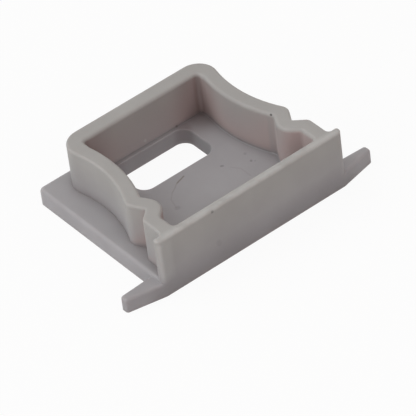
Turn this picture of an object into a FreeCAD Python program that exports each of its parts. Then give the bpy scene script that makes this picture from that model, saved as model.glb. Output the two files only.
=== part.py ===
import FreeCAD, Part
import math
import os
import Sketcher

# Moulded end cap for an aluminium profile, one piece.
# The flat plate lies outer face down and covers the end of the profile. The hollow plug
# stands on it with a thin front wall, waisted sides and a sharp groove behind each cheek.
# Two tapered wings carry the plate's front edge out over the profile's flanges, and a
# cable slot goes through the plate against the plug's back wall.
# X runs across the cap, -Y is the front, and the origin is the middle of the outer face.

doc = FreeCAD.newDocument("profile_end_cap")
sheet = doc.addObject("Spreadsheet::Sheet", "dims")
body = doc.addObject("PartDesign::Body", "end_cap")
body.Label = "end_cap"

# Driving sizes, in millimetres and degrees
SIZES = {
    # Plate
    "plate_width": 18.2,  # across, without the wings
    "plate_depth": 15.7,  # front edge to back edge
    "plate_thick": 1.5,  # outer face to the face that meets the profile
    "plate_back_r": 0.45,  # upright corners at the back
    "plate_edge_r": 0.3,  # edges on the profile side
    # Wings
    "wing_span": 24.4,  # tip to tip
    "wing_inset": 0.25,  # where the swept edge starts, inside the plate's side
    "wing_step": 0.2,  # how far they lie below the plate
    "wing_sweep": 12,  # degrees the front edge runs back
    "wing_root": 1.6,  # depth where they leave the plate
    "wing_tip": 0.72,  # depth at the tip
    "wing_tip_r": 0.25,  # upright corners of the tip
    "wing_edge_r": 0.26,  # edges on the profile side
    # Plug
    "plug_height": 4.0,  # above the plate
    "plug_depth": 14.95,  # front face to back face
    "plug_back_r": 1.7,  # outer corners at the back
    "side_wall": 1.3,  # waisted and grooved walls
    "back_wall": 1.4,  # straight wall at the back
    "front_wall": 0.78,  # thin wall with the flush front face
    "cheek_inset": 0.85,  # cheeks inside the plate's side
    "groove_depth": 1.0,  # bottom of the groove inside the cheek
    "waist_depth": 1.475,  # narrowest part of the side inside the cheek
    "waist_place": 10.3,  # from the front face
    "side_r": 10.8,  # hollow curve of each side
    "groove_place": 3.8,  # from the front face
    "groove_back": 30,  # degrees between its rear flank and the depth
    "groove_front": 48.6,  # degrees between its front flank and the depth
    "groove_r": 0.12,  # bottom of the groove
    "shoulder_r": 0.9,  # corner behind the groove
    "cheek_r": 0.6,  # corner in front of the groove
    "nose_thick": 0.65,  # end of the front wall, flush with the plate's side
    "nose_front_r": 0.4,  # its front corner
    "nose_back_r": 0.22,  # its back corner
    "nose_root_r": 0.35,  # hollow corner between nose and cheek
    "pocket_flare": 0.225,  # how much wider the pocket is at the back than at the waist, a side
    "pocket_bend_r": 1.5,  # where the pocket's side begins to curve
    "pocket_r": 0.3,  # upright corners of the pocket
    "rim_r": 0.17,  # outer edge of the open rim
    "mouth_r": 0.28,  # inner edge of the open rim
    "floor_r": 0.1,  # foot of the walls inside the pocket
    # Cable slot
    "slot_length": 7.3,  # across
    "slot_width": 4.05,  # front to back
    "slot_ledge": 0.25,  # floor left in front of the back wall
    "slot_r": 1.0,  # corners of the slot
    "slot_edge_r": 0.1,  # rim of the slot
}
for row, (name, value) in enumerate(SIZES.items(), 1):
    sheet.set(f"A{row}", name)
    sheet.set(f"B{row}", str(value))
    sheet.setAlias(f"B{row}", name)
doc.recompute()


def mm(formula):
    """The present value of a formula in the sheet's sizes."""
    return float(sheet.evalExpression(formula))


def same(a, b):
    """Whether two lengths are equal for this purpose."""
    return math.isclose(a, b, abs_tol=1e-4)


class Outline:
    """A closed wire of named edges, drawn point by point on the body's XY plane."""

    def __init__(self, name, x, y):
        self.sketch = body.newObject("Sketcher::SketchObject", name)
        self.sketch.AttachmentSupport = (origin_plane("XY_Plane"), [""])
        self.sketch.MapMode = "FlatFace"
        self.edges = {}
        self.first = (x, y)
        self.pen = (x, y)
        self.joint = "Coincident"

    def line(self, name, x, y):
        """A straight edge from the pen to a point."""
        start = FreeCAD.Vector(*self.pen, 0)
        self.add(name, Part.LineSegment(start, FreeCAD.Vector(x, y, 0)), (1, 2), (x, y))
        self.joint = "Coincident"

    def arc(self, name, x, y, centre, clockwise=False):
        """A round edge from the pen to a point."""
        radius = math.dist(self.pen, centre)
        circle = Part.Circle(FreeCAD.Vector(*centre, 0), FreeCAD.Vector(0, 0, 1), radius)
        start = math.atan2(self.pen[1] - centre[1], self.pen[0] - centre[0])
        end = math.atan2(y - centre[1], x - centre[0])
        if clockwise:
            self.add(name, Part.ArcOfCircle(circle, end, start), (2, 1), (x, y))
        else:
            self.add(name, Part.ArcOfCircle(circle, start, end), (1, 2), (x, y))

    def bend(self, name, x, y, centre):
        """A round edge that runs smoothly out of the edge before and into the one after."""
        self.joint = "Tangent"
        self.arc(name, x, y, centre)

    def add(self, name, curve, ends, point):
        """Put an edge in the sketch, joined to the one before, and move the pen on."""
        names = list(self.edges)
        number = self.sketch.addGeometry(curve, False)
        self.edges[name] = (number, *ends)
        self.pen = point
        if names:
            self.rule(self.joint, *self.end(names[-1]), *self.start(name))

    def close(self, name):
        """A straight edge back to where the wire began."""
        first = list(self.edges)[0]
        self.line(name, *self.first)
        self.rule("Coincident", *self.end(name), *self.start(first))

    def edge(self, name):
        """Number of an edge."""
        return self.edges[name][0]

    def start(self, name):
        """The point an edge starts from."""
        return self.edges[name][0], self.edges[name][1]

    def end(self, name):
        """The point an edge runs to."""
        return self.edges[name][0], self.edges[name][2]

    def rule(self, kind, *refs):
        """A constraint without a value."""
        self.sketch.addConstraint(Sketcher.Constraint(kind, *refs))

    def each(self, kind, *names):
        """The same constraint on several edges."""
        for name in names:
            self.rule(kind, self.edge(name))

    def origin(self):
        """The middle of the outer face."""
        return -1, 1

    def on_middle(self, name):
        """Start an edge on the middle of the cap."""
        self.rule("PointOnObject", *self.start(name), -2)

    def bind(self, kind, refs, formula):
        """A dimension that follows the sheet."""
        number = self.sketch.addConstraint(Sketcher.Constraint(kind, *refs, mm(formula)))
        self.sketch.setExpression(f"Constraints[{number}]", formula)

    def across(self, point, formula):
        """Distance of a point to the right of the middle."""
        self.bind("DistanceX", (*self.origin(), *point), formula)

    def behind(self, low, high, formula):
        """Distance from one point back to another."""
        self.bind("DistanceY", (*low, *high), formula)

    def heading(self, name, formula):
        """Direction of an edge in degrees from the X axis."""
        start = math.radians(mm(formula))
        number = self.sketch.addConstraint(Sketcher.Constraint("Angle", self.edge(name), start))
        self.sketch.setExpression(f"Constraints[{number}]", f"({formula}) * 1 deg")

    def corner(self, name):
        """Plan position of the corner an edge starts from."""
        point = self.sketch.getPoint(*self.start(name))
        return point.x, point.y


def origin_plane(role):
    """One of the body's own origin planes."""
    return [plane for plane in body.Origin.OriginFeatures if plane.Role == role][0]


def pad(name, outline, formula):
    """The outline raised from the outer face."""
    feature = body.newObject("PartDesign::Pad", name)
    feature.Profile = outline.sketch
    feature.setExpression("Length", formula)
    doc.recompute()
    return feature


def upright(*corners):
    """Names of the upright edges at plan points."""
    found = []
    for number, edge in enumerate(body.Shape.Edges, 1):
        box = edge.BoundBox
        if not same(box.XLength, 0) or not same(box.YLength, 0):
            continue
        if any(same(box.XMin, x) and same(box.YMin, y) for x, y in corners):
            found.append(f"Edge{number}")
    return found


def face_edges(formula):
    """Names of the edges round the flat faces at one height, without those on the middle."""
    height = mm(formula)
    wanted = []
    for face in body.Shape.Faces:
        box = face.BoundBox
        if same(box.ZMin, height) and same(box.ZMax, height):
            wanted.extend(edge for edge in face.Edges if not same(edge.BoundBox.XMax, 0))
    names = enumerate(body.Shape.Edges, 1)
    return [f"Edge{n}" for n, edge in names if any(edge.isSame(other) for other in wanted)]


def run_across(y, *heights):
    """Names of the edges that run straight across at one depth, at the given heights."""
    found = []
    for number, edge in enumerate(body.Shape.Edges, 1):
        box = edge.BoundBox
        if not same(box.YLength, 0) or not same(box.ZLength, 0) or not same(box.YMin, y):
            continue
        if any(same(box.ZMin, z) for z in heights):
            found.append(f"Edge{number}")
    return found


def fillet(name, edges, formula):
    """Rounded edges, and those that run on smoothly from them, whose radius follows the sheet."""
    base = body.Tip
    feature = body.newObject("PartDesign::Fillet", name)
    feature.Base = (base, edges)
    feature.setExpression("Radius", formula)
    doc.recompute()
    return feature


# Places shared by the outlines, from the middle of the outer face
front = -mm("dims.plate_depth / 2")
side = mm("dims.plate_width / 2")
back = front + mm("dims.plug_depth")
floor = mm("dims.plate_thick")
top = floor + mm("dims.plug_height")
plug_side = "dims.plate_width / 2 - dims.cheek_inset"
waist_side = f"{plug_side} - dims.waist_depth"
pocket_side = f"{waist_side} - dims.side_wall + dims.pocket_flare"

# Right wing, drawn from the middle so that the two halves make one bar under the plate
flush = side - mm("dims.wing_inset")
tip = mm("dims.wing_span / 2")
tip_front = front + (tip - flush) * math.tan(math.radians(mm("dims.wing_sweep")))
wing = Outline("wing_sketch", 0, front)
wing.line("flush", flush, front)
wing.line("swept", tip, tip_front)
wing.line("end", tip, tip_front + mm("dims.wing_tip"))
wing.line("rear", flush, front + mm("dims.wing_root"))
wing.line("inner", 0, front + mm("dims.wing_root"))
wing.close("middle")
wing.each("Horizontal", "flush", "inner")
wing.each("Vertical", "end", "middle")
wing.on_middle("flush")
wing.rule("Vertical", *wing.end("flush"), *wing.end("rear"))
wing.behind(wing.start("flush"), wing.origin(), "dims.plate_depth / 2")
wing.behind(wing.start("flush"), wing.start("inner"), "dims.wing_root")
wing.behind(wing.start("end"), wing.end("end"), "dims.wing_tip")
wing.across(wing.end("flush"), "dims.plate_width / 2 - dims.wing_inset")
wing.across(wing.start("end"), "dims.wing_span / 2")
wing.heading("swept", "dims.wing_sweep")
pad("wing", wing, "dims.plate_thick - dims.wing_step")
fillet("wing_tip", upright(wing.corner("end"), wing.corner("rear")), "dims.wing_tip_r")
fillet("wing_edges", face_edges("dims.plate_thick - dims.wing_step"), "dims.wing_edge_r")

# Right half of the plate, its front corner rounded like the nose that stands on it
nose_r = mm("dims.nose_front_r")
rear_r = mm("dims.plate_back_r")
plate = Outline("plate_sketch", 0, front)
plate.line("front", side - nose_r, front)
plate.bend("nose", side, front + nose_r, (side - nose_r, front + nose_r))
plate.line("right", side, -front - rear_r)
plate.bend("corner", side - rear_r, -front, (side - rear_r, -front - rear_r))
plate.line("rear", 0, -front)
plate.close("middle")
plate.each("Horizontal", "front", "rear")
plate.each("Vertical", "right", "middle")
plate.on_middle("front")
plate.behind(plate.start("front"), plate.origin(), "dims.plate_depth / 2")
plate.behind(plate.origin(), plate.end("rear"), "dims.plate_depth / 2")
plate.across(plate.start("right"), "dims.plate_width / 2")
plate.bind("Radius", (plate.edge("nose"),), "dims.nose_front_r")
plate.bind("Radius", (plate.edge("corner"),), "dims.plate_back_r")
pad("plate", plate, "dims.plate_thick")
fillet("plate_edges", face_edges("dims.plate_thick"), "dims.plate_edge_r")

# Right half of the plug's wall, one closed band that runs out along the cheek, groove and
# waist to the back and returns along the pocket
nose_back_r = mm("dims.nose_back_r")
nose_back = front + mm("dims.nose_thick")
wall = mm("dims.side_wall")
pocket_back = back - mm("dims.back_wall")
cheek = mm(plug_side)
groove = (cheek - mm("dims.groove_depth"), front + mm("dims.groove_place"))
waist = mm(waist_side)
centre = (waist + mm("dims.side_r"), front + mm("dims.waist_place"))
pocket = mm(pocket_side)
band = Outline("wall_sketch", 0, front)
band.line("front", side - nose_r, front)
band.bend("nose_front", side, front + nose_r, (side - nose_r, front + nose_r))
band.line("nose_end", side, nose_back - nose_back_r)
band.bend("nose_back", side - nose_back_r, nose_back, (side - nose_back_r, nose_back - nose_back_r))
band.line("nose_rear", cheek, nose_back)
band.line("cheek", cheek, groove[1] - (cheek - groove[0]))
band.line("groove_front", *groove)
band.line("groove_back", waist + 1, groove[1] + 1)
band.arc("side", waist + 1, back, centre, clockwise=True)
band.line("rear", 0, back)
band.line("seam_back", 0, pocket_back)
band.line("pocket_rear", pocket, pocket_back)
band.line("pocket_back", pocket, centre[1] + wall)
band.arc("pocket_side", waist - wall, groove[1] + wall, centre)
band.line("pocket_groove_back", groove[0] - wall, groove[1])
band.line("pocket_groove_front", cheek - wall, groove[1] - wall)
band.line("pocket_cheek", cheek - wall, front + mm("dims.front_wall"))
band.line("pocket_front", 0, front + mm("dims.front_wall"))
band.close("seam_front")
band.each("Horizontal", "front", "nose_rear", "rear", "pocket_rear", "pocket_front")
band.each("Vertical", "nose_end", "cheek", "seam_back", "pocket_back", "pocket_cheek", "seam_front")
band.on_middle("front")
band.on_middle("seam_back")
band.rule("Parallel", band.edge("groove_front"), band.edge("pocket_groove_front"))
band.rule("Parallel", band.edge("groove_back"), band.edge("pocket_groove_back"))
band.rule("Coincident", band.edge("side"), 3, band.edge("pocket_side"), 3)
band.behind(band.start("front"), band.origin(), "dims.plate_depth / 2")
band.behind(band.start("front"), band.end("nose_rear"), "dims.nose_thick")
band.behind(band.start("front"), band.start("groove_back"), "dims.groove_place")
band.behind(band.start("front"), (band.edge("side"), 3), "dims.waist_place")
band.behind(band.start("front"), band.end("rear"), "dims.plug_depth")
band.behind(band.start("front"), band.start("seam_front"), "dims.front_wall")
band.behind(band.end("seam_back"), band.start("seam_back"), "dims.back_wall")
band.across(band.start("nose_end"), "dims.plate_width / 2")
band.across(band.start("cheek"), plug_side)
band.across(band.start("groove_back"), f"{plug_side} - dims.groove_depth")
band.across((band.edge("side"), 3), f"{waist_side} + dims.side_r")
band.across(band.start("pocket_back"), pocket_side)
band.across(band.start("pocket_cheek"), f"{plug_side} - dims.side_wall")
band.heading("groove_front", "90 + dims.groove_front")
band.heading("groove_back", "90 - dims.groove_back")
band.bind("Radius", (band.edge("nose_front"),), "dims.nose_front_r")
band.bind("Radius", (band.edge("nose_back"),), "dims.nose_back_r")
band.bind("Radius", (band.edge("side"),), "dims.side_r")
band.bind("Radius", (band.edge("pocket_side"),), "dims.side_r + dims.side_wall")
for flank in ("groove_front", "groove_back"):
    opposite = band.edge(f"pocket_{flank}")
    band.bind("Distance", (*band.start("groove_back"), opposite), "dims.side_wall")
pad("plug", band, "dims.plate_thick + dims.plug_height")
fillet("nose_root", upright(band.corner("cheek")), "dims.nose_root_r")
fillet("shoulder", upright(band.corner("side")), "dims.shoulder_r")
fillet("cheek", upright(band.corner("groove_front")), "dims.cheek_r")
fillet("groove", upright(band.corner("groove_back")), "dims.groove_r")
bend = upright(band.corner("pocket_groove_front"))
fillet("groove_bend", bend, "dims.groove_r + dims.side_wall")
fillet("plug_back", upright(band.corner("rear")), "dims.plug_back_r")
fillet("pocket_bend", upright(band.corner("pocket_side")), "dims.pocket_bend_r")
pocket_corners = ("pocket_back", "pocket_groove_back", "pocket_cheek", "pocket_front")
fillet("pocket_corners", upright(*[band.corner(name) for name in pocket_corners]), "dims.pocket_r")
pocket_front = front + mm("dims.front_wall")
fillet("rim", run_across(front, top), "dims.rim_r")
fillet("mouth", run_across(pocket_front, top), "dims.mouth_r")
fillet("floor", run_across(pocket_front, floor), "dims.floor_r")

# The left half
whole = body.newObject("PartDesign::Mirrored", "whole")
whole.TransformMode = "Whole shape"
whole.MirrorPlane = (origin_plane("YZ_Plane"), [""])
whole.Refine = True
body.Tip = whole
doc.recompute()

# Cable slot through the plate, close in front of the plug's back wall
slot_back = pocket_back - mm("dims.slot_ledge")
slot_front = slot_back - mm("dims.slot_width")
slot_end = mm("dims.slot_length / 2")
opening = Outline("slot_sketch", -slot_end, slot_front)
opening.line("front", slot_end, slot_front)
opening.line("right", slot_end, slot_back)
opening.line("back", -slot_end, slot_back)
opening.close("left")
opening.each("Horizontal", "front", "back")
opening.each("Vertical", "left", "right")
opening.across(opening.start("right"), "dims.slot_length / 2")
opening.bind("DistanceX", (*opening.start("front"), *opening.end("front")), "dims.slot_length")
opening.behind(opening.start("front"), opening.start("left"), "dims.slot_width")
reach = "dims.plug_depth - dims.plate_depth / 2 - dims.back_wall - dims.slot_ledge"
opening.behind(opening.origin(), opening.start("back"), reach)
slot = body.newObject("PartDesign::Pocket", "slot")
slot.Profile = opening.sketch
slot.Type = "ThroughAll"
slot.Reversed = True
doc.recompute()
slot_corners = [opening.corner(name) for name in opening.edges]
fillet("slot_corners", upright(*slot_corners), "dims.slot_r")
fillet("slot_edges", run_across(slot_front, 0, floor), "dims.slot_edge_r")

# Everything has to be sound before it is written
for item in doc.Objects:
    if "Invalid" in item.State or "Error" in item.State:
        raise RuntimeError(f"{item.Name} failed: {item.State}")
for outline in (wing, plate, band, opening):
    if not outline.sketch.FullyConstrained:
        raise RuntimeError(f"{outline.sketch.Name} can still move")
if body.Shape.isNull() or not body.Shape.isValid() or len(body.Shape.Solids) != 1:
    raise RuntimeError("end_cap is not one sound solid")
if slot.Shape.Volume >= whole.Shape.Volume:
    raise RuntimeError("the slot cuts nothing")
os.makedirs("parts", exist_ok=True)
body.Shape.exportStep(f"parts/{body.Label}.step")
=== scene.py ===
"""Looks of a moulded profile end cap: its grey plastic, marks of use, painted light and shade, and
a studio to see it in.
"""

import math

import bpy
from bpy.props import FloatProperty, FloatVectorProperty, PointerProperty
from mathutils import Matrix, Vector


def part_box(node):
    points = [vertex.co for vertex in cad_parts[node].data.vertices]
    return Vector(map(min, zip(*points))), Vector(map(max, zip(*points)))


bl_info = {
    "name": "Profile End Cap",
    "version": (1, 0, 0),
    "blender": (4, 5, 0),
    "location": "3D View > Sidebar > End Cap",
    "description": "Finishes a moulded profile end cap and lights it on a pale floor",
    "category": "Object",
}

MM = 0.001

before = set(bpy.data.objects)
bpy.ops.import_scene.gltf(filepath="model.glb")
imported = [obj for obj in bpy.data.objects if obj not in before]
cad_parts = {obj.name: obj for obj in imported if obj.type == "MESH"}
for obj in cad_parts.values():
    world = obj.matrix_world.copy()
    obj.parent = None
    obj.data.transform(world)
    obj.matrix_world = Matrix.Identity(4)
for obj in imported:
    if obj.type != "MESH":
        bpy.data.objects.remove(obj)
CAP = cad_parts["end_cap"]
CAP_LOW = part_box("end_cap")[0]

# The width of the camera's sensor in millimetres, and the distance at which it starts to see.
SENSOR = 36.0
NEAREST_SEEN = 10 * MM

# The floor lies this far below the cap, so that the two faces don't show through each other.
FLOOR_GAP = 0.02 * MM

# Each lamp's name and the way to it from the cap.
LAMPS = (
    ("left", (-1.0, 0.0, 0.4)),
    ("front", (0.0, -1.0, 1.28)),
    ("back", (-0.7, 0.7, 1.28)),
)

WHITE = (1.0, 1.0, 1.0, 1.0)
BLACK = (0.0, 0.0, 0.0, 1.0)
UP = (0.0, 0.0, 1.0)

# How strongly the plastic bends light, and how far red, green and blue travel in it.
PLASTIC_IOR = 1.5
GLOW_TINT = (1.0, 0.8, 0.75)

# How far the clouds change the roughness either way.
ROUGH_SPREAD = 0.05

# The share of the painted shade lines that stays on the ledge behind the slot.
SLOT_RELIEF = 0.2

# How pale the faintest spot of the painted highlight on the front rim is.
LEAST_RIM_HIGHLIGHT = 0.15

# How fine the waver of the marks is, and how far it moves them.
WANDER_SIZE = 0.8 * MM
WANDER_REACH = 0.16 * MM

# Rays for each look at the surroundings, and at a soft edge.
OPENNESS_SAMPLES = 16
BEVEL_SAMPLES = 8

# Regions of the surface, each made of bands. A band says what it is measured along, where "aside"
# is the distance from the middle plane, and in millimetres where its mask is 0 and where it is 1.
UPPER_PLUG = (("Z", 1.0, 4.5),)
WALLS = (("Z", 1.5, 2.0),)
POCKET = (("aside", 6.5, 6.3), ("Y", 6.5, 6.3), ("Y", -7.55, -7.35))
POCKET_FILLET = (("Z", 1.48, 1.5), ("Z", 1.62, 1.6))
UNDER_RIM = (("Z", 5.45, 5.15), ("Z", 0.1, 0.4))
CHEEKS = (("Y", -1.5, -3.0),)
AROUND_PLUG = (("aside", 9.1, 8.6),)
SLOT_LEDGE = (("aside", 4.0, 3.5), ("Y", 5.0, 5.2))
FRONT_FACE = (("Y", -7.45, -7.75),)
FRONT_FOOT = (("Z", 2.4, 0.0),)
FRONT_RIM = (("Y", -7.1, -7.55), ("Z", 5.2, 5.42))
# The left front corner, where a highlight is painted and the normal leans over.
HIGHLIT_CORNER = (("X", -7.7, -8.9), ("Z", 1.2, 2.0), ("Z", 5.4, 5.0))

# How open the surface is, from 1 on a free face to 0 in a deep corner, where a look starts and
# where it is full.
HOLLOW = (0.8, 0.5)
SEAM_SHADE = (0.8, 0.35)
CREASE = (0.85, 0.5)
OPEN_EDGE = (0.75, 0.92)

# The same for the brightness of a cloud texture.
CLOUDED = (0.35, 0.65)
CLOUDED_SATIN = (0.3, 0.7)
RIM_HIGHLIGHT = (0.35, 0.6)

# The share of a streak's half width where it starts, and where it has its full strength.
STREAK_EDGE = (1.0, 0.3)

# Marks in millimetres: start, run to the other end, half width, strength.
SCRATCHES = (
    ((-0.2, 0.72, 1.5), (-0.9, -0.3, 0.0), 0.1, 0.6),
    ((-1.1, 0.42, 1.5), (-0.95, -0.6, 0.0), 0.09, 0.22),
    ((-2.05, -0.18, 1.5), (-0.6, -0.6, 0.0), 0.1, 0.14),
    ((-2.65, -0.78, 1.5), (-0.3, -1.0, 0.0), 0.12, 0.12),
    ((3.05, -1.1, 1.5), (0.45, -0.7, 0.0), 0.1, 0.12),
    ((3.5, -1.8, 1.5), (0.0, -1.2, 0.0), 0.1, 0.12),
)
SPECKS = (
    ((-3.83, -7.85, 5.33), (0.05, 0.0, 0.0), 0.17, 0.6),
    ((6.55, -2.4, 5.39), (0.0, 0.05, 0.0), 0.13, 1.0),
    ((3.1, 5.7, 1.68), (0.05, 0.0, 0.0), 0.15, 0.5),
    ((4.62, -1.68, 1.5), (0.05, 0.05, 0.0), 0.15, 0.35),
    ((4.84, -1.91, 1.5), (0.05, 0.0, 0.0), 0.11, 0.2),
    ((2.6, -0.5, 1.5), (0.1, -0.05, 0.0), 0.16, 0.4),
    ((4.83, -0.7, 1.5), (0.05, 0.05, 0.0), 0.18, 0.18),
    ((-2.95, -1.9, 1.5), (0.1, 0.0, 0.0), 0.3, 0.15),
    ((-3.6, -7.85, 2.2), (0.1, 0.0, -0.3), 0.3, 0.1),
)
DUST = (
    ((0.03, 5.7, 2.0), (0.0, 0.0, 0.1), 0.16, 0.55),
)
# Shade in the pocket's back corners, wide and then narrow, and beside the slot.
SHADES = (
    ((5.7, 5.7, 5.0), (0.0, 0.0, -3.4), 3.2, 0.24),
    ((-5.7, 5.7, 5.0), (0.0, 0.0, -3.4), 3.2, 0.24),
    ((5.6, 5.65, 5.1), (0.0, 0.0, -3.6), 0.9, 0.34),
    ((-5.6, 5.65, 5.1), (0.0, 0.0, -3.6), 0.9, 0.34),
    ((3.5, 5.2, 1.1), (0.0, 0.0, -1.1), 1.3, 0.3),
    ((-3.5, 5.2, 1.1), (0.0, 0.0, -1.1), 1.3, 0.3),
)

# Width of a column and height of a row of nodes in the editor.
NODE_COLUMN = 220
NODE_ROW = 260


class PlasticSettings(bpy.types.PropertyGroup):
    """Colours and surface of the moulding."""

    body_colour: FloatVectorProperty(
        name="Plastic", description="Colour of the plastic at the open rim", subtype="COLOR",
        size=4, min=0.0, max=1.0, default=(0.335, 0.325, 0.315, 1.0))
    # Painted cooler light: the plastic lower down is given the tint of the cooler light that falls
    # there.
    low_cool_light_colour: FloatVectorProperty(
        name="Plastic lower down", description="Cooler colour of the plastic near the plate",
        subtype="COLOR", size=4, min=0.0, max=1.0, default=(0.322, 0.31, 0.322, 1.0))
    cloud_size: FloatProperty(
        name="Cloud size", description="Width of the faint clouds in the plastic", unit="LENGTH",
        min=0.1 * MM, default=4.0 * MM)
    cloud_share: FloatProperty(
        name="Cloud strength", description="How far the clouds darken the plastic",
        subtype="FACTOR", min=0.0, max=1.0, default=0.06)
    # The hollow colour is painted warm bounce light, warmer and lighter than the plastic, on the
    # walls inside hollows.
    hollow_bounce_colour: FloatVectorProperty(
        name="Hollows", description="Warm colour of the walls inside hollows", subtype="COLOR",
        size=4, min=0.0, max=1.0, default=(0.42, 0.345, 0.335, 1.0))
    hollow_reach: FloatProperty(
        name="Reach of hollows", description="How far apart two walls still count as a hollow",
        unit="LENGTH", min=0.1 * MM, default=8.0 * MM)
    hollow_bounce_share: FloatProperty(
        name="Share of hollow colour", description="How much of the hollow colour shows at most",
        subtype="FACTOR", min=0.0, max=1.0, default=1.0)
    # The seam colour is painted shade at the foot of the walls and in inner corners.
    seam_shade_colour: FloatVectorProperty(
        name="Seams", description="Dark colour that gathers at the foot of the walls",
        subtype="COLOR", size=4, min=0.0, max=1.0, default=(0.12, 0.085, 0.08, 1.0))
    seam_shade_reach: FloatProperty(
        name="Reach of seams", description="Width of the dark foot of a wall", unit="LENGTH",
        min=0.05 * MM, default=1.8 * MM)
    seam_shade_share: FloatProperty(
        name="Share of seam colour", description="How much of the seam colour shows at most",
        subtype="FACTOR", min=0.0, max=1.0, default=0.38)
    crease_reach: FloatProperty(
        name="Reach of creases",
        description="Width of the thin dark line in an inner corner, where light doesn't roll over",
        unit="LENGTH", min=0.05 * MM, default=0.5 * MM)
    crease_share: FloatProperty(
        name="Share of crease colour",
        description="How much of the seam colour the thin line in an inner corner adds",
        subtype="FACTOR", min=0.0, max=1.0, default=0.16)
    # Painted shade that darkens the foot of the front wall.
    foot_shade: FloatProperty(
        name="Grime at the foot", description="How far grime darkens the foot of the front wall",
        subtype="FACTOR", min=0.0, max=1.0, default=0.3)
    # The speck colour also paints the shade at the foot of the front wall.
    speck_and_shade_colour: FloatVectorProperty(
        name="Specks", description="Colour of the dark specks", subtype="COLOR",
        size=4, min=0.0, max=1.0, default=(0.05, 0.042, 0.04, 1.0))
    scratch_colour: FloatVectorProperty(
        name="Scratches", description="Colour of the brown scratches", subtype="COLOR",
        size=4, min=0.0, max=1.0, default=(0.13, 0.09, 0.07, 1.0))
    # The dust colour also paints the highlights on the left front corner and along the front rim.
    dust_and_highlight_colour: FloatVectorProperty(
        name="Dust", description="Colour of the pale grain of dust and of rubbed plastic",
        subtype="COLOR", size=4, min=0.0, max=1.0, default=(0.5, 0.5, 0.49, 1.0))
    shade_colour: FloatVectorProperty(
        name="Corner shade", description="Dark brown that fills the deep corners",
        subtype="COLOR", size=4, min=0.0, max=1.0, default=(0.085, 0.036, 0.03, 1.0))
    # Painted highlight on the front rim, in pale patches.
    rim_highlight_size: FloatProperty(
        name="Rub size", description="Width of the pale rubbed spots on the front rim",
        unit="LENGTH", min=0.05 * MM, default=0.9 * MM)
    rim_highlight_share: FloatProperty(
        name="Rub strength", description="How pale the front rim is rubbed at most",
        subtype="FACTOR", min=0.0, max=1.0, default=0.42)
    corner_wear: FloatProperty(
        name="Corner wear", description="How far the left front corner looks worn round",
        min=0.0, max=2.0, default=0.9)
    # Painted highlight on the left front corner.
    corner_highlight: FloatProperty(
        name="Corner paleness", description="How pale the worn left front corner is at most",
        subtype="FACTOR", min=0.0, max=1.0, default=0.5)
    edge_softness: FloatProperty(
        name="Edge softness", description="How far light rolls over an edge", unit="LENGTH",
        min=0.0, default=0.3 * MM)
    roughness: FloatProperty(
        name="Roughness", description="Roughness of the satin surface", subtype="FACTOR",
        min=0.0, max=1.0, default=0.58)
    glow_depth: FloatProperty(
        name="Light depth", description="How deep light enters the plastic", unit="LENGTH",
        min=0.01 * MM, default=0.9 * MM)
    glow_share: FloatProperty(
        name="Light share", description="Share of the light that enters the plastic",
        subtype="FACTOR", min=0.0, max=1.0, default=0.3)
    grain_depth: FloatProperty(
        name="Grain depth", description="Depth of the fine texture left by the mould",
        unit="LENGTH", min=0.0, max=0.1 * MM, default=0.006 * MM)
    grain_size: FloatProperty(
        name="Grain size", description="Width of one grain of the texture", unit="LENGTH",
        min=0.01 * MM, max=2 * MM, default=0.22 * MM)


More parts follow.
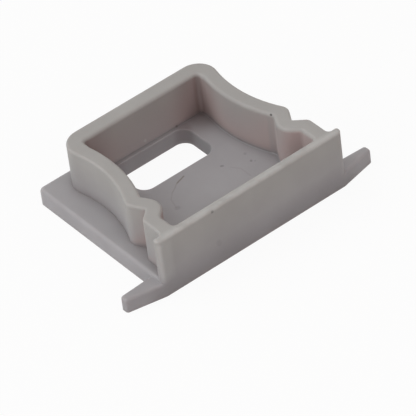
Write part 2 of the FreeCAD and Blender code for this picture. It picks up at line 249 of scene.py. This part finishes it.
class StudioSettings(bpy.types.PropertyGroup):
    """Floor, light and camera."""

    floor_colour: FloatVectorProperty(
        name="Floor", description="Colour of the floor", subtype="COLOR",
        size=4, min=0.0, max=1.0, default=(0.7, 0.7, 0.7, 1.0))
    floor_side: FloatProperty(
        name="Floor side", description="Length of the square floor's side", unit="LENGTH",
        min=0.1, default=1.2)
    floor_white: FloatProperty(
        name="Floor white", description="How far plain white hides the floor's shadows",
        subtype="FACTOR", min=0.0, max=1.0, default=0.93)
    sky_light: FloatProperty(
        name="Sky light", description="Strength of the even light from all round",
        min=0.0, default=0.56)
    sky_colour: FloatVectorProperty(
        name="Sky colour", description="Colour of the even light", subtype="COLOR",
        size=4, min=0.0, max=1.0, default=(1.0, 0.95, 0.9, 1.0))
    left_light: FloatProperty(
        name="Left lamp", description="Strength of the low lamp on the left", unit="POWER",
        min=0.0, default=0.66)
    left_colour: FloatVectorProperty(
        name="Left colour", description="Colour of the low lamp on the left", subtype="COLOR",
        size=3, min=0.0, max=1.0, default=(1.0, 0.97, 1.0))
    front_light: FloatProperty(
        name="Front lamp", description="Strength of the high lamp in front", unit="POWER",
        min=0.0, default=0.45)
    front_colour: FloatVectorProperty(
        name="Front colour", description="Colour of the high lamp in front", subtype="COLOR",
        size=3, min=0.0, max=1.0, default=(1.0, 0.88, 0.92))
    back_light: FloatProperty(
        name="Back lamp", description="Strength of the high lamp behind on the left",
        unit="POWER", min=0.0, default=0.84)
    back_colour: FloatVectorProperty(
        name="Back colour", description="Colour of the high lamp behind", subtype="COLOR",
        size=3, min=0.0, max=1.0, default=(0.87, 0.97, 1.0))
    lamp_reach: FloatProperty(
        name="Lamp distance", description="From each lamp to the cap", unit="LENGTH",
        min=0.1, default=0.5)
    lamp_side: FloatProperty(
        name="Lamp side", description="Side of each square lamp", unit="LENGTH",
        min=0.01, default=0.35)
    azimuth: FloatProperty(
        name="Azimuth", description="How far the camera stands to the left of the front",
        subtype="ANGLE", default=math.radians(34.12))
    elevation: FloatProperty(
        name="Elevation", description="How far the camera looks down", subtype="ANGLE",
        default=math.radians(40.66))
    roll: FloatProperty(
        name="Roll", description="Turn of the camera about its own axis", subtype="ANGLE",
        default=math.radians(7.66))
    distance: FloatProperty(
        name="Distance", description="Camera to the point it looks at", unit="LENGTH",
        min=0.05, default=324.0 * MM)
    lens: FloatProperty(
        name="Focal length", description="Focal length in millimetres for a 36 mm sensor",
        unit="CAMERA", min=10.0, default=362.6)
    aim: FloatVectorProperty(
        name="Aim",
        description="Where the camera looks, from the middle of the front bottom edge",
        subtype="TRANSLATION", unit="LENGTH", size=3, default=(-0.275 * MM, 5.71 * MM, 0.0))


def made(tree, kind, *values, **choices):
    """Add a node, fill its inputs in order, and give back its first output.

    Each value is a socket to link or a plain value, and each choice an attribute of the node.
    """
    node = tree.nodes.new("ShaderNode" + kind)
    for name, choice in choices.items():
        setattr(node, name, choice)
    inputs = [socket for socket in node.inputs if socket.enabled]
    for socket, value in zip(inputs, values):
        if isinstance(value, bpy.types.NodeSocket):
            tree.links.new(value, socket)
        else:
            socket.default_value = value
    return next(socket for socket in node.outputs if socket.enabled)


def combined(tree, operation, first, *others):
    """Work out one value from several with the same operation."""
    result = first
    for other in others:
        result = made(tree, "Math", result, other, operation=operation)
    return result


def times(tree, *values):
    """Multiply values with each other."""
    return combined(tree, "MULTIPLY", *values)


def ranged(tree, value, band, least=0.0, most=1.0):
    """Turn values from one end of a band to the other into values from least to most."""
    return made(tree, "MapRange", value, *band, least, most)


def blend(tree, share, first, second, kind="RGBA"):
    """Mix two colours, or two directions."""
    return made(tree, "Mix", share, first, second, data_type=kind)


def noise(tree, place, size, detail):
    """A cloud texture with features of one size."""
    return made(tree, "TexNoise", place, 1 / size, detail)


def openness(tree, reach):
    """How open the surface is to what lies within reach."""
    shade = made(
        tree, "AmbientOcclusion", WHITE, reach, only_local=True, samples=OPENNESS_SAMPLES)
    return shade.node.outputs["AO"]


def region(tree, along, bands):
    """A mask that is 1 where the surface lies in all of the bands."""
    return times(tree, *(
        ranged(tree, along[measure], (outside * MM, inside * MM))
        for measure, outside, inside in bands))


def in_metres(point):
    """A point given in millimetres."""
    return [value * MM for value in point]


def arrange(tree):
    """Set nodes out in the editor in columns, each to the left of all that it feeds."""
    columns = {node.name: 0 for node in tree.nodes}
    feeds = [(link.from_node.name, link.to_node.name) for link in tree.links]
    settled = False
    while not settled:
        settled = True
        for source, target in feeds:
            if columns[source] <= columns[target]:
                columns[source] = columns[target] + 1
                settled = False
    filled = {}
    for node in tree.nodes:
        column = columns[node.name]
        row = filled.get(column, 0)
        filled[column] = row + 1
        node.location = (-NODE_COLUMN * column, -NODE_ROW * row)


def streak_group():
    """A node group that puts out a soft line between two points of the surface."""
    group = bpy.data.node_groups.new("Streak", "ShaderNodeTree")
    for name, kind in (
            ("Vector", "NodeSocketVector"), ("Start", "NodeSocketVector"),
            ("Run", "NodeSocketVector"), ("Half Width", "NodeSocketFloat"),
            ("Strength", "NodeSocketFloat")):
        group.interface.new_socket(name, in_out="INPUT", socket_type=kind)
    group.interface.new_socket("Mask", in_out="OUTPUT", socket_type="NodeSocketFloat")
    given = group.nodes.new("NodeGroupInput").outputs
    run = given["Run"]
    offset = made(group, "VectorMath", given["Vector"], given["Start"], operation="SUBTRACT")
    along = made(group, "VectorMath", offset, run, operation="DOT_PRODUCT")
    length = made(group, "VectorMath", run, run, operation="DOT_PRODUCT")
    share = made(group, "Math", along, length, operation="DIVIDE", use_clamp=True)
    nearest = made(group, "VectorMath", run, share, operation="SCALE")
    gap = made(group, "VectorMath", offset, nearest, operation="DISTANCE")
    widths = made(group, "Math", gap, given["Half Width"], operation="DIVIDE")
    fade = made(
        group, "MapRange", widths, *STREAK_EDGE, 0.0, given["Strength"],
        interpolation_type="SMOOTHSTEP")
    group.links.new(fade, group.nodes.new("NodeGroupOutput").inputs["Mask"])
    arrange(group)
    return group


def marked(tree, streak, place, marks):
    """A mask of marks, as strong at each point as the strongest of them."""
    return combined(tree, "MAXIMUM", *(
        made(tree, "Group", place, in_metres(start), in_metres(run), half_width * MM, strength,
             node_tree=streak)
        for start, run, half_width, strength in marks))


class Surface:
    """Sockets that tell where a point of the cap lies and what lies round it."""

    def __init__(self, tree, settings):
        self.place = tree.nodes.new("ShaderNodeTexCoord").outputs["Object"]
        axes = made(tree, "SeparateXYZ", self.place).node.outputs
        self.along = {name: axes[name] for name in "XYZ"}
        self.along["aside"] = made(tree, "Math", axes["X"], operation="ABSOLUTE")
        self.clouds = noise(tree, self.place, settings.cloud_size, 3.0)
        self.near = openness(tree, settings.crease_reach)
        self.pocket = region(tree, self.along, POCKET)
        self.front = region(tree, self.along, FRONT_FACE)
        # The worn mask marks the left front corner, where a highlight is painted and the normal
        # leans over.
        self.worn = times(tree, self.front, region(tree, self.along, HIGHLIT_CORNER))


def clouded_grey(tree, settings, surface):
    """Grey plastic, with painted cooler light lower down, and faintly clouded."""
    # Painted cooler light lower down, blending into the plastic's own colour higher up.
    upper = region(tree, surface.along, UPPER_PLUG)
    colour = blend(tree, upper, settings.low_cool_light_colour, settings.body_colour)
    darker = ranged(tree, surface.clouds, CLOUDED, settings.cloud_share, 0.0)
    return blend(tree, darker, colour, BLACK)


def with_hollows(tree, settings, surface, colour):
    """Paint warm bounce light on the walls of hollows, and paint shade at the feet of walls and in
    the creases.
    """
    # Painted warm bounce light on the walls of hollows, where they are least open.
    hollow = ranged(
        tree, openness(tree, settings.hollow_reach), HOLLOW, 0.0, settings.hollow_bounce_share)
    narrow = combined(tree, "MAXIMUM", surface.pocket, region(tree, surface.along, CHEEKS))
    walls = region(tree, surface.along, WALLS)
    colour = blend(tree, times(tree, hollow, narrow, walls), colour, settings.hollow_bounce_colour)

    # Painted shade at the feet of walls and in creases, lighter on the ledge behind the slot.
    ledge = ranged(tree, region(tree, surface.along, SLOT_LEDGE), (0.0, 1.0), 1.0, SLOT_RELIEF)
    dark = times(tree, region(tree, surface.along, AROUND_PLUG), ledge)
    seam = ranged(tree, openness(tree, settings.seam_shade_reach), SEAM_SHADE, 0.0, settings.seam_shade_share)
    crease = ranged(tree, surface.near, CREASE, 0.0, settings.crease_share)
    for line in (seam, crease):
        colour = blend(tree, times(tree, line, dark), colour, settings.seam_shade_colour)
    return colour


def with_marks(tree, settings, surface, colour):
    """Add painted shade at the foot of the front wall, scratches, specks, dust and the painted
    shade of deep corners.
    """
    # Painted shade at the foot of the front wall, in the speck colour.
    painted_shade = times(
        tree, surface.front, region(tree, surface.along, FRONT_FOOT), settings.foot_shade)
    colour = blend(tree, painted_shade, colour, settings.speck_and_shade_colour)

    wander = noise(tree, surface.place, WANDER_SIZE, 2.0).node.outputs["Color"]
    drift = made(
        tree, "VectorMath", wander, (WANDER_REACH,) * 3, surface.place,
        operation="MULTIPLY_ADD")
    wandering = made(tree, "VectorMath", drift, (WANDER_REACH / 2,) * 3, operation="SUBTRACT")
    streak = streak_group()
    for marks, ink in (
            (SCRATCHES, settings.scratch_colour), (SPECKS, settings.speck_and_shade_colour),
            (DUST, settings.dust_and_highlight_colour)):
        colour = blend(tree, marked(tree, streak, wandering, marks), colour, ink)
    shaded = times(
        tree, marked(tree, streak, surface.place, SHADES), surface.pocket,
        region(tree, surface.along, UNDER_RIM))
    return blend(tree, shaded, colour, settings.shade_colour)


def with_highlights(tree, settings, surface, colour):
    """Paint pale highlights on the left front corner and in patches along the front rim."""
    # Painted highlight on the left front corner.
    pale = times(tree, surface.worn, settings.corner_highlight)
    colour = blend(tree, pale, colour, settings.dust_and_highlight_colour)
    # Painted highlight along the front rim, in patches.
    highlit = noise(tree, surface.place, settings.rim_highlight_size, 3.0)
    highlit = ranged(tree, highlit, RIM_HIGHLIGHT, LEAST_RIM_HIGHLIGHT, settings.rim_highlight_share)
    highlit = times(tree, highlit, region(tree, surface.along, FRONT_RIM))
    return blend(tree, highlit, colour, settings.dust_and_highlight_colour)


def soft_normal(tree, settings, surface):
    """Roll light over open edges, lay the pocket's fillet flat and lean the worn corner over."""
    crisp = tree.nodes.new("ShaderNodeNewGeometry").outputs["Normal"]
    soft = made(tree, "Bevel", settings.edge_softness, samples=BEVEL_SAMPLES)
    normal = blend(tree, ranged(tree, surface.near, OPEN_EDGE), crisp, soft, "VECTOR")
    fillet = times(tree, surface.pocket, region(tree, surface.along, POCKET_FILLET))
    normal = blend(tree, fillet, normal, UP, "VECTOR")
    lean = made(
        tree, "VectorMath", (-settings.corner_wear, 0.0, 0.0), surface.worn, operation="SCALE")
    normal = made(tree, "VectorMath", normal, lean, operation="ADD")
    return made(tree, "VectorMath", normal, operation="NORMALIZE")


def moulded_plastic(settings):
    """Satin grey plastic with a fine mould texture, painted warm bounce light in hollows, painted
    shade and highlights, and a few marks of use.
    """
    material = bpy.data.materials.new("moulded_grey_plastic")
    material.use_nodes = True
    tree = material.node_tree
    shader = tree.nodes["Principled BSDF"]
    shader.inputs["IOR"].default_value = PLASTIC_IOR
    shader.inputs["Subsurface Weight"].default_value = settings.glow_share
    shader.inputs["Subsurface Radius"].default_value = GLOW_TINT
    shader.inputs["Subsurface Scale"].default_value = settings.glow_depth

    surface = Surface(tree, settings)
    colour = clouded_grey(tree, settings, surface)
    for layer in (with_hollows, with_marks, with_highlights):
        colour = layer(tree, settings, surface, colour)
    tree.links.new(colour, shader.inputs["Base Color"])
    satin = ranged(
        tree, surface.clouds, CLOUDED_SATIN,
        settings.roughness + ROUGH_SPREAD, settings.roughness - ROUGH_SPREAD)
    tree.links.new(satin, shader.inputs["Roughness"])

    bump = tree.nodes.new("ShaderNodeBump")
    bump.inputs["Distance"].default_value = settings.grain_depth
    grain = noise(tree, surface.place, settings.grain_size, 2.0)
    tree.links.new(grain, bump.inputs["Height"])
    tree.links.new(soft_normal(tree, settings, surface), bump.inputs["Normal"])
    tree.links.new(bump.outputs["Normal"], shader.inputs["Normal"])
    arrange(tree)
    return material


def seen_as_white(tree):
    """1 for rays from the camera and those that shiny or clear surfaces send on, 0 for light."""
    rays = tree.nodes.new("ShaderNodeLightPath").outputs
    return combined(
        tree, "MAXIMUM",
        rays["Is Camera Ray"], rays["Is Glossy Ray"], rays["Is Transmission Ray"])


def floor_material(settings):
    """White floor that keeps part of the object's shadow.

    It is clear from behind, and for light that starts on the face that lies on it, so that this
    face can be seen from below.
    """
    material = bpy.data.materials.new("floor_white")
    material.use_nodes = True
    tree = material.node_tree
    shader = tree.nodes["Principled BSDF"]
    shader.inputs["Base Color"].default_value = settings.floor_colour
    shader.inputs["Roughness"].default_value = 1.0
    shader.inputs["Specular IOR Level"].default_value = 0.0
    white = times(tree, seen_as_white(tree), settings.floor_white)
    floor = made(
        tree, "MixShader", white, shader.outputs["BSDF"], made(tree, "Emission", WHITE, 1.0))

    length = tree.nodes.new("ShaderNodeLightPath").outputs["Ray Length"]
    touching = made(tree, "Math", length, 4 * FLOOR_GAP, operation="LESS_THAN")
    behind = tree.nodes.new("ShaderNodeNewGeometry").outputs["Backfacing"]
    clear = combined(tree, "MAXIMUM", touching, behind)
    floor = made(tree, "MixShader", clear, floor, made(tree, "BsdfTransparent"))
    tree.links.new(floor, tree.nodes["Material Output"].inputs["Surface"])
    arrange(tree)
    return material


def white_world(settings):
    """Even light from all round, seen as white."""
    world = bpy.data.worlds.new("studio_light")
    world.use_nodes = True
    tree = world.node_tree
    light = tree.nodes["Background"]
    light.inputs["Color"].default_value = settings.sky_colour
    light.inputs["Strength"].default_value = settings.sky_light
    sky = made(
        tree, "MixShader", seen_as_white(tree), light.outputs["Background"],
        made(tree, "Background", WHITE, 1.0))
    tree.links.new(sky, tree.nodes["World Output"].inputs["Surface"])
    arrange(tree)
    return world


def look_matrix(eye, target, roll=0.0):
    """The place and turn of something that looks from eye to target."""
    turn = (target - eye).to_track_quat("-Z", "Y").to_matrix().to_4x4()
    return Matrix.Translation(eye) @ turn @ Matrix.Rotation(roll, 4, "Z")


class CAP_OT_finish_plastic(bpy.types.Operator):
    """Gives the end cap its grey plastic"""

    bl_idname = "end_cap.finish_plastic"
    bl_label = "Finish the plastic"

    def execute(self, context):
        CAP.data.materials.clear()
        CAP.data.materials.append(moulded_plastic(context.scene.cap_plastic))
        return {"FINISHED"}


class CAP_OT_set_up_studio(bpy.types.Operator):
    """Builds the floor, the light and the camera"""

    bl_idname = "end_cap.set_up_studio"
    bl_label = "Set up the studio"

    def execute(self, context):
        settings = context.scene.cap_studio
        bpy.ops.object.select_all(action="DESELECT")
        bpy.ops.mesh.primitive_plane_add(
            size=settings.floor_side, location=(0, 0, CAP_LOW.z - FLOOR_GAP))
        floor = context.object
        floor.name = "floor"
        floor.data.materials.append(floor_material(settings))
        context.scene.world = white_world(settings)
        for name, direction in LAMPS:
            self.add_lamp(context, settings, name, direction)
        self.add_camera(context, settings)
        context.scene.view_settings.view_transform = "Standard"
        return {"FINISHED"}

    def add_lamp(self, context, settings, name, direction):
        """A square lamp that faces the cap from one direction."""
        bpy.ops.object.light_add(type="AREA")
        lamp = context.object
        lamp.name = name + "_light"
        lamp.data.energy = getattr(settings, name + "_light")
        lamp.data.color = getattr(settings, name + "_colour")
        lamp.data.size = settings.lamp_side
        eye = Vector(direction).normalized() * settings.lamp_reach
        lamp.matrix_world = look_matrix(eye, Vector((0.0, 0.0, 0.0)))

    def add_camera(self, context, settings):
        """A long lens at the photograph's viewing angle."""
        bpy.ops.object.camera_add()
        camera = context.object
        camera.data.sensor_width = SENSOR
        camera.data.lens = settings.lens
        camera.data.clip_start = NEAREST_SEEN
        target = Vector((0, CAP_LOW.y, CAP_LOW.z)) + Vector(settings.aim)
        level = math.cos(settings.elevation)
        back = Vector((
            -math.sin(settings.azimuth) * level,
            -math.cos(settings.azimuth) * level,
            math.sin(settings.elevation)))
        eye = target + back * settings.distance
        camera.matrix_world = look_matrix(eye, target, -settings.roll)
        context.scene.camera = camera


class CAP_PT_panel(bpy.types.Panel):
    """Steps and settings of the end cap"""

    bl_idname = "CAP_PT_panel"
    bl_label = "End cap"
    bl_space_type = "VIEW_3D"
    bl_region_type = "UI"
    bl_category = "End Cap"

    def draw(self, context):
        layout = self.layout
        for operator, settings in (
                (CAP_OT_finish_plastic, context.scene.cap_plastic),
                (CAP_OT_set_up_studio, context.scene.cap_studio)):
            box = layout.box()
            box.operator(operator.bl_idname)
            for name in settings.__annotations__:
                box.prop(settings, name)


CLASSES = (
    PlasticSettings,
    StudioSettings,
    CAP_OT_finish_plastic,
    CAP_OT_set_up_studio,
    CAP_PT_panel,
)


def register():
    """Add the classes and their settings to Blender."""
    for cls in CLASSES:
        bpy.utils.register_class(cls)
    bpy.types.Scene.cap_plastic = PointerProperty(type=PlasticSettings)
    bpy.types.Scene.cap_studio = PointerProperty(type=StudioSettings)


def unregister():
    """Take them out again."""
    del bpy.types.Scene.cap_studio
    del bpy.types.Scene.cap_plastic
    for cls in reversed(CLASSES):
        bpy.utils.unregister_class(cls)


def main():
    """Build everything in order."""
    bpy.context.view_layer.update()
    register()
    bpy.ops.end_cap.finish_plastic()
    bpy.ops.end_cap.set_up_studio()


if __name__ == "__main__":
    main()
